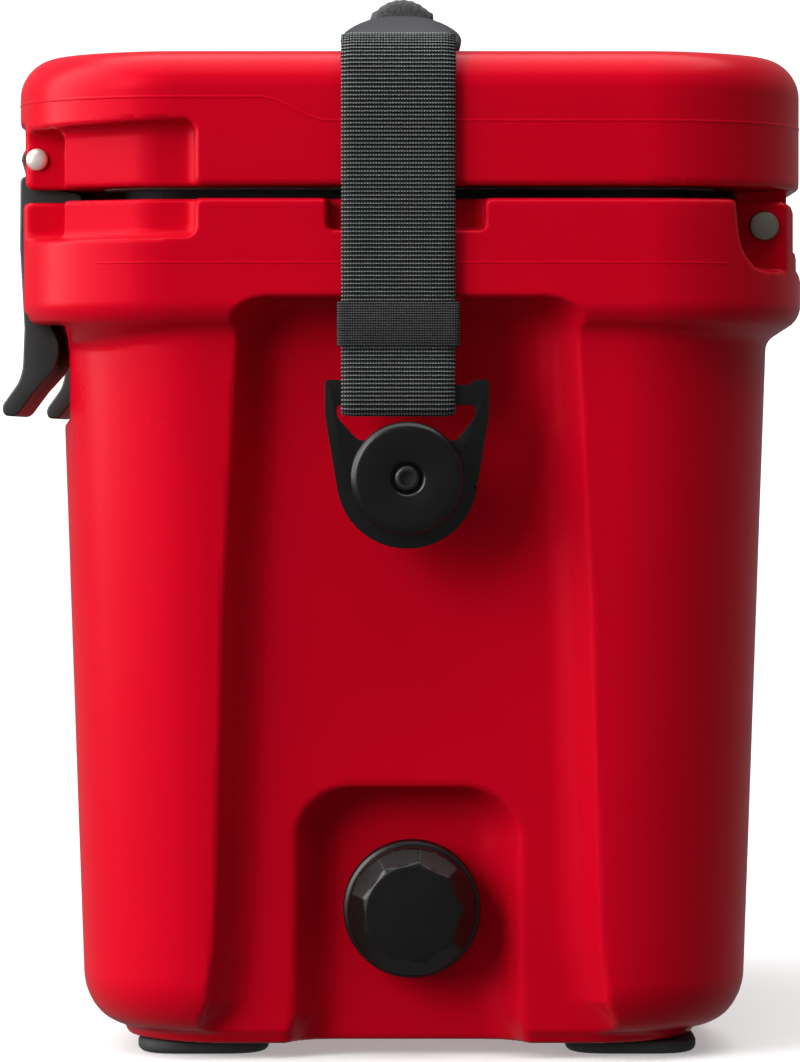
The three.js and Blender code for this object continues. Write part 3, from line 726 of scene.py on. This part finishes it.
def strap(name, side, node):
    P, t = resample(PATH, 0.37)
    T = np.gradient(P, axis=0)
    T /= np.linalg.norm(T, axis=1)[:, None]
    Nn = np.stack([-T[:, 1], T[:, 0]], 1)
    rib = 0.23 * np.sin(2 * np.pi * t / 1.48)
    half = 1.28
    cols = []  # cross-section going round: (across, side sign)
    nA = 13
    for a in np.linspace(-1, 1, nA):
        cols.append((a, 1))
    for a in np.linspace(1, -1, nA):
        cols.append((a, -1))
    verts, uvs = [], []
    for i in range(len(P)):
        edge = 0.22 * math.sin(2 * math.pi * t[i] / 1.48 + 0.8)
        for a, s in cols:
            e = 1 - max(0, (abs(a) - 0.93) / 0.07) ** 2 * 0.45
            off = s * (half * e + rib[i] * (1 if abs(a) < 0.96 else 0.3))
            y = SY + a * (SW - 0.25 + (edge if abs(a) > 0.99 else 0))
            verts.append(((P[i, 0] + Nn[i, 0] * off) * side, y, P[i, 1] + Nn[i, 1] * off))
            uvs.append((a * SW, t[i]))
    m = len(cols)
    faces = []
    for i in range(len(P) - 1):
        for j in range(m):
            k = (j + 1) % m
            faces.append((i * m + j, i * m + k, (i + 1) * m + k, (i + 1) * m + j))
    faces.append(tuple(range(m)))
    faces.append(tuple(reversed(range((len(P) - 1) * m, len(P) * m))))
    if side < 0:
        faces = [tuple(reversed(f)) for f in faces]
    o = mesh_object(name, verts, faces, WEB, "handle", (node,))
    fix_normals(o)
    layer = o.data.uv_layers.new(name="uv")
    vi = np.empty(len(o.data.loops), np.int32)
    o.data.loops.foreach_get("vertex_index", vi)
    layer.data.foreach_set("uv", np.array(uvs, np.float32)[vi].ravel())
    return o


def band(name, side, node):
    """Keeper wrapped round both layers of the strap, finished with the fine webbing material."""
    out = round_poly([(202.7, SY - 22.7), (212.1, SY - 22.7), (212.1, SY + 22.7), (202.7, SY + 22.7)], 2.4, 6)
    inn = round_poly([(203.6, SY - 21.7), (211.1, SY - 21.7), (211.1, SY + 21.7), (203.6, SY + 21.7)], 1.2, 6)
    zs = [263.2, 264.0, 278.9, 279.7]
    grow = [-0.45, 0, 0, -0.45]
    verts, faces = [], []
    n = len(out)
    c = np.array([207.4, SY])
    for zz, g in zip(zs, grow):
        for p in out:
            d = np.array(p) - c
            verts.append(((c[0] + d[0] * (1 + g / 8)) * side, c[1] + d[1] * (1 + g / 40), zz))
    for zz in (zs[3], zs[0]):
        for p in inn:
            verts.append((p[0] * side, p[1], zz))
    rows = 6
    for r in range(rows):
        for j in range(n):
            k = (j + 1) % n
            r2 = (r + 1) % rows
            faces.append((r * n + j, r * n + k, r2 * n + k, r2 * n + j))
    o = mesh_object(name, verts, faces, FINE, "handle", (node,))
    fix_normals(o)
    shade(o, 45)
    layer = o.data.uv_layers.new(name="uv")
    vi = np.empty(len(o.data.loops), np.int32)
    o.data.loops.foreach_get("vertex_index", vi)
    uv_ = np.array([(p[1], p[2]) for p in verts], np.float32)
    layer.data.foreach_set("uv", uv_[vi].ravel())
    return o


def shoulder(name, side, node):
    """Rubber shoulder: a saddle that runs from the round grip down onto the flat strap."""
    ns, nr = 30, 40
    verts, faces = [], []
    for i in range(ns + 1):
        f = i / ns
        x = 57.2 + f * 37
        w = 24.1 * (1 - 0.05 * f)
        ztop = 397.6 - 1.2 * f - 10.6 * (f ** 1.35 if f > 0 else 0)
        zbot = 377.7 + 0.9 * f
        if i == ns:
            ztop = zbot + 6.6
        zc, hh = (ztop + zbot) / 2, (ztop - zbot) / 2
        p = 2.0 + 2.2 * f
        endf = 1 - 0.12 * max(0, (f - 0.93) / 0.07) ** 2
        for j in range(nr):
            a = 2 * math.pi * j / nr
            ca, sa = math.cos(a), math.sin(a)
            yy = math.copysign(abs(ca) ** (2 / (2.6 + f)), ca) * w * endf
            k = abs(yy) / w
            top = hh * (1 - 0.36 * (1 - f) * k ** 2.6)
            zz = math.copysign(abs(sa) ** (2 / p), sa)
            zz = zc + zz * (top if sa > 0 else hh)
            verts.append((x * side, -3.3 + yy, zz))
    for i in range(ns):
        for j in range(nr):
            k = (j + 1) % nr
            faces.append((i * nr + j, i * nr + k, (i + 1) * nr + k, (i + 1) * nr + j))
    faces.append(tuple(range(nr)))
    faces.append(tuple(range(ns * nr, (ns + 1) * nr)))
    o = mesh_object(name, verts, faces, SHOULDER, "handle", (node,))
    fix_normals(o)
    shade(o, 50)
    return o


for side, tag in ((1, "right"), (-1, "left")):
    strap(f"webbing_strap_{tag}", side, f"strap_{tag}")
    band(f"strap_band_{tag}", side, f"strap_keeper_{tag}")
    shoulder(f"grip_end_{tag}", side, f"grip_shoulder_{tag}")


def grip():
    """Wrapped grip with ridges along it, round section, slightly barrelled."""
    m, nt, b = material("grip_wrap", (0.05, 0.053, 0.06), 0.78)
    tc = nt.nodes.new("ShaderNodeTexCoord")
    n1 = noise(nt, 700, 3, coords=tc.outputs["Object"])
    n2 = noise(nt, 30, 4, coords=tc.outputs["Object"])
    nt.links.new(ramp(nt, n1.outputs["Fac"], [(0.3, (0.012, 0.013, 0.015)), (0.7, (0.045, 0.048, 0.05))]).outputs["Color"], b.inputs["Base Color"])
    bump(nt, b, n1.outputs["Fac"], 0.0002)
    b.inputs["Sheen Weight"].default_value = 0.15
    ns, nr = 150, 108
    verts, faces = [], []
    prof = [(-57.0, 8.4)]
    xs = np.linspace(-56.8, 56.8, ns + 1)
    for x in xs:
        e = 56.8 - abs(x)
        r = 14.25 - 1.9 * math.exp(-((e / 1.1) ** 2))
        prof.append((x, r))
    prof.append((57.0, 8.4))
    for x, r in prof:
        for j in range(nr):
            a = 2 * math.pi * j / nr
            ridge = 0.28 * (0.5 + 0.5 * math.cos(27 * a)) if r > 12.6 else 0
            seam = -0.5 * math.exp(-((((a - 1.5 * math.pi + math.pi) % (2 * math.pi)) - math.pi) / 0.05) ** 2)
            ruff = 0.0
            for a0 in (0.62, math.pi - 0.62):
                ruff += (0.45 + 0.4 * math.sin(x * 0.82 + a0)) * math.exp(-(((a - a0) / 0.10) ** 2))
            q = r - ridge + (seam if r > 12 else 0) + (ruff if r > 13.4 else 0)
            verts.append((x, -2.9 + q * math.cos(a), 390.1 + q * math.sin(a)))
    for i in range(len(prof) - 1):
        for j in range(nr):
            k = (j + 1) % nr
            faces.append((i * nr + j, i * nr + k, (i + 1) * nr + k, (i + 1) * nr + j))
    faces.append(tuple(range(nr)))
    faces.append(tuple(range((len(prof) - 1) * nr, len(prof) * nr)))
    o = mesh_object("grip_sleeve", verts, faces, m, "handle", ("grip_cover", "grip_core"))
    fix_normals(o)
    shade(o, 50)


grip()

# ------------------------------------------------------------------ latches, pins, plug, feet
LY, LZ = -140.6, 334.4
hub = [(LY + 6.4 * math.cos(a), LZ + 6.4 * math.sin(a)) for a in np.linspace(0.0, math.pi, 14)]
tail = round_poly([(-144.0, 326), (-144.2, 300), (-142.6, 270), (-143.2, 255.3), (-144.6, 250.2), (-151, 241.2), (-150.2, 237.6), (-145.6, 237.3), (-138.5, 246.8), (-131.4, 254.6), (-129.7, 260), (-129.8, 265), (-133.3, 272), (-134, 300), (-132.5, 310.5), (-122.6, 313.8), (-120.6, 317), (-122.0, 319.8), (-130.4, 321.2), (-130.9, 326)], 2.2, 4)
tail = [(-3.7 + (p[0] + 3.7) / 0.976, 229 + (p[1] - 229) / 0.976) for p in tail]
LAT = hub + tail
for side, tag in ((1, "right"), (-1, "left")):
    x0, x1 = sorted((84.1 * side, 159.9 * side))
    lever = slab(f"latch_lever_{tag}", LAT, x0, x1, LATCH, f"latch_{tag}", (f"latch_{tag}",), 1.5, 4, holes=[circle(LY, LZ, 2.8, 24)], angle=40)
    # painted highlight: lower tail faces turned towards +Y take the light grey-brown colour in place of lit
    # shading
    lever.data.materials.append(LATCH_PAINTED_HIGHLIGHT)
    for p in lever.data.polygons:
        if p.center.z < 0.262 and p.normal.y > 0.35 and abs(p.normal.x) < 0.3:
            p.material_index = 1
    lathe(f"latch_pin_head_{tag}", [(75, 0), (75, 2.5), (166.0, 2.5), (166.1, 3.8), (166.5, 4.2), (167.2, 4.05), (168.0, 3.2), (168.4, 1.8), (168.5, 0)], LY, LZ, PIN, "lid", (f"latch_pin_{tag}",), side=side, segs=64, ang=60)
    lathe(f"hinge_pin_head_{tag}", [(118, 0), (118, 3.2), (174.3, 3.2), (174.4, 5.1), (174.8, 5.5), (176.7, 5.5), (177.4, 5.1), (177.65, 4.2), (177.7, 0)], 133, 309, DULL, "chest", (f"hinge_pin_{tag}",), side=side, segs=64, ang=40)


def drain_knob():
    """Round flange, then a nine-sided knob whose flats fade into a round flat face."""
    n = 180
    dy, dz = 0.8, 54.6
    rings = [(148, 0, 0), (148, 5.2, 0), (167.9, 5.2, 0), (168.0, 25.2, 0), (168.5, 25.8, 0), (171.4, 25.9, 0), (172.2, 25.6, 0), (172.6, 24.9, 0), (172.8, 24.3, 0), (173.4, 24.0, 0), (180.0, 23.9, 0)]
    rings += [(x_, a_, -1) for x_, a_ in zip(np.linspace(180.6, 186.9, 14), np.linspace(23.9, 18.0, 14))]
    rings += [(187.2, 17.75, 0), (187.42, 17.3, 0), (187.5, 16.6, 0), (187.5, 0, 0)]
    verts, faces, R = [], [], []
    N = 9
    for x, r, k in rings:
        if r == 0:
            R.append([len(verts)])
            verts.append((x, dy, dz))
            continue
        R.append(list(range(len(verts), len(verts) + n)))
        for i in range(n):
            a = 2 * math.pi * (i + 0.5) / n
            seg = 2 * math.pi / N
            b = ((a + 0.3 + seg / 2) % seg) - seg / 2
            q = min(23.9, r / math.cos(b) * 0.995) if k < 0 else r
            verts.append((x, dy + q * math.cos(a), dz + q * math.sin(a)))
    for A, B in zip(R, R[1:]):
        for i in range(n):
            j = (i + 1) % n
            if len(A) == 1:
                faces.append((A[0], B[j], B[i]))
            elif len(B) == 1:
                faces.append((A[i], A[j], B[0]))
            else:
                faces.append((A[i], A[j], B[j], B[i]))
    o = mesh_object("drain_knob", verts, faces, BLACK, "drain_plug", ("drain_plug",))
    fix_normals(o)
    shade(o, 35)


drain_knob()
lathe("drain_flange", [(140, 6), (140, 8), (162.3, 8), (162.4, 25.4), (163.0, 26.0), (164.8, 26.0), (165.4, 25.4), (165.4, 6), (140, 6)], 0.8, 54.6, BLACK, "chest", ("drain_fitting",))


def foot(name, x, y, node):
    rings = [(0.0, -2.2), (0.35, -1.2), (1.1, -0.4), (2.2, 0), (4.2, 0), (4.9, -0.5), (5.2, -1.4)]
    pts = round_poly([(-25, -25), (25, -25), (25, 25), (-25, 25)], 17, 14)
    verts, faces = [], []
    n = len(pts)
    for z, g in rings:
        for p in pts:
            verts.append((x + p[0] * (25 + g) / 25, y + p[1] * (25 + g) / 25, z))
    for i in range(len(rings) - 1):
        for j in range(n):
            k = (j + 1) % n
            faces.append((i * n + j, i * n + k, (i + 1) * n + k, (i + 1) * n + j))
    # counterbore from below
    m = n
    bore = [(0.0, 5.4), (2.6, 5.4), (2.6, 2.6), (5.2, 2.6)]
    start = len(verts)
    for z, r in bore:
        for j in range(m):
            a = math.atan2(pts[j][1], pts[j][0])
            verts.append((x + r * math.cos(a), y + r * math.sin(a), z))
    for i in range(3):
        for j in range(m):
            k = (j + 1) % m
            faces.append((start + i * m + j, start + i * m + k, start + (i + 1) * m + k, start + (i + 1) * m + j))
    for j in range(m):
        k = (j + 1) % m
        faces.append((j, k, start + k, start + j))
        top = (len(rings) - 1) * n
        faces.append((top + j, top + k, start + 3 * m + k, start + 3 * m + j))
    o = mesh_object(name, verts, faces, RUBBER, "chest", (node,))
    fix_normals(o)
    shade(o, 50)


for node_name, (x, y) in {"foot_front_right": (136, -78.8), "foot_front_left": (-136, -78.8), "foot_rear_right": (136, 84.4), "foot_rear_left": (-136, 84.4)}.items():
    foot(node_name + "_pad", x, y, node_name)

# ------------------------------------------------------------------ carried-over CAD nodes
CAD = {
    "body_foam": FOAM, "lid_foam": FOAM, "body_liner": WHITE, "lid_liner": WHITE, "lid_gasket": SEAL,
    "drain_gasket": SEAL, "drain_seal": SEAL, "drain_nut": BLACK,
    "pivot_insert_right": BRASS, "pivot_insert_left": BRASS, "pivot_bush_right": BLACK, "pivot_bush_left": BLACK,
}
for n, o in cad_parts.items():
    mat = CAD.get(n)
    if mat is None and ("screw" in n or "latch_keeper" in n):
        mat = STEEL
    if mat is not None:
        if not o.material_slots:
            o.data.materials.append(mat)
        for s in o.material_slots:
            s.material = mat

# ------------------------------------------------------------------ stage, light, camera
def stage_plane(name, size, loc, rot=(0, 0, 0), color=(0.9, 0.9, 0.9), rough=0.6):
    bpy.ops.mesh.primitive_plane_add(size=1, location=loc, rotation=rot)
    o = bpy.context.object
    o.name = name
    o.scale = (size[0], size[1], 1)
    m, nt, b = material(name, color, rough)
    o.data.materials.append(m)
    return o


floor = stage_plane("floor", (16, 16), (0, 0, -0.0003), color=(0.62, 0.62, 0.62), rough=1.0)
bpy.ops.mesh.primitive_cylinder_add(vertices=96, radius=7, depth=14, end_fill_type="NOTHING", location=(0, 0, 6.5))
back = bpy.context.object
back.name = "backdrop"
back.data.materials.append(material("backdrop", (0.6, 0.6, 0.6), 1.0)[0])
for o, e in ((floor, 0.33), (back, 1.05)):
    p = o.data.materials[0].node_tree.nodes["Principled BSDF"]
    p.inputs["Specular IOR Level"].default_value = 0.0
    p.inputs["Emission Color"].default_value = (1, 1, 1, 1)
    p.inputs["Emission Strength"].default_value = e
    o.visible_diffuse = False
    o.visible_glossy = False
back.visible_shadow = False

w = bpy.data.worlds.new("world")
bpy.context.scene.world = w
w.use_nodes = True
w.node_tree.nodes["Background"].inputs["Color"].default_value = (1, 1, 1, 1)
w.node_tree.nodes["Background"].inputs["Strength"].default_value = 0.21


def area(name, loc, target, size, energy, color=(1, 1, 1)):
    L = bpy.data.lights.new(name, "AREA")
    L.shape = "RECTANGLE"
    L.size, L.size_y = size
    L.energy = energy
    L.color = color
    o = bpy.data.objects.new(name, L)
    C.objects.link(o)
    o.location = loc
    o.rotation_euler = (Vector(target) - Vector(loc)).to_track_quat("-Z", "Y").to_euler()
    return o


KEY, TOP = 113, 3.3
area("key", (1.3, -1.8, 1.2), (1.3, 0, 0.6), (3.4, 2.2), KEY)
area("fill", (2.0, -1.7, 1.3), (0.1, 0, 0.2), (0.9, 1.2), 20)
sun = bpy.data.lights.new("overhead", "SUN")
sun.energy = TOP
sun.angle = math.radians(70)
sun_o = bpy.data.objects.new("overhead", sun)
C.objects.link(sun_o)

cam = bpy.data.cameras.new("camera")
cam_o = bpy.data.objects.new("camera", cam)
C.objects.link(cam_o)
DX = 1.9
near = 0.206
cam.sensor_fit = "VERTICAL"
cam.sensor_height = 36
cam.sensor_width = 36
cam.lens = 36 * DX / 0.393
cam_o.location = (near + DX, (-3.7 + YO) * 0.001, 0.2335)
aim = Vector((near, (-3.7 + YO) * 0.001, 0.1995))
cam_o.rotation_euler = (aim - Vector(cam_o.location)).to_track_quat("-Z", "Y").to_euler()
cam.clip_end = 100
bpy.context.scene.camera = cam_o
bpy.context.scene.view_settings.view_transform = "Standard"
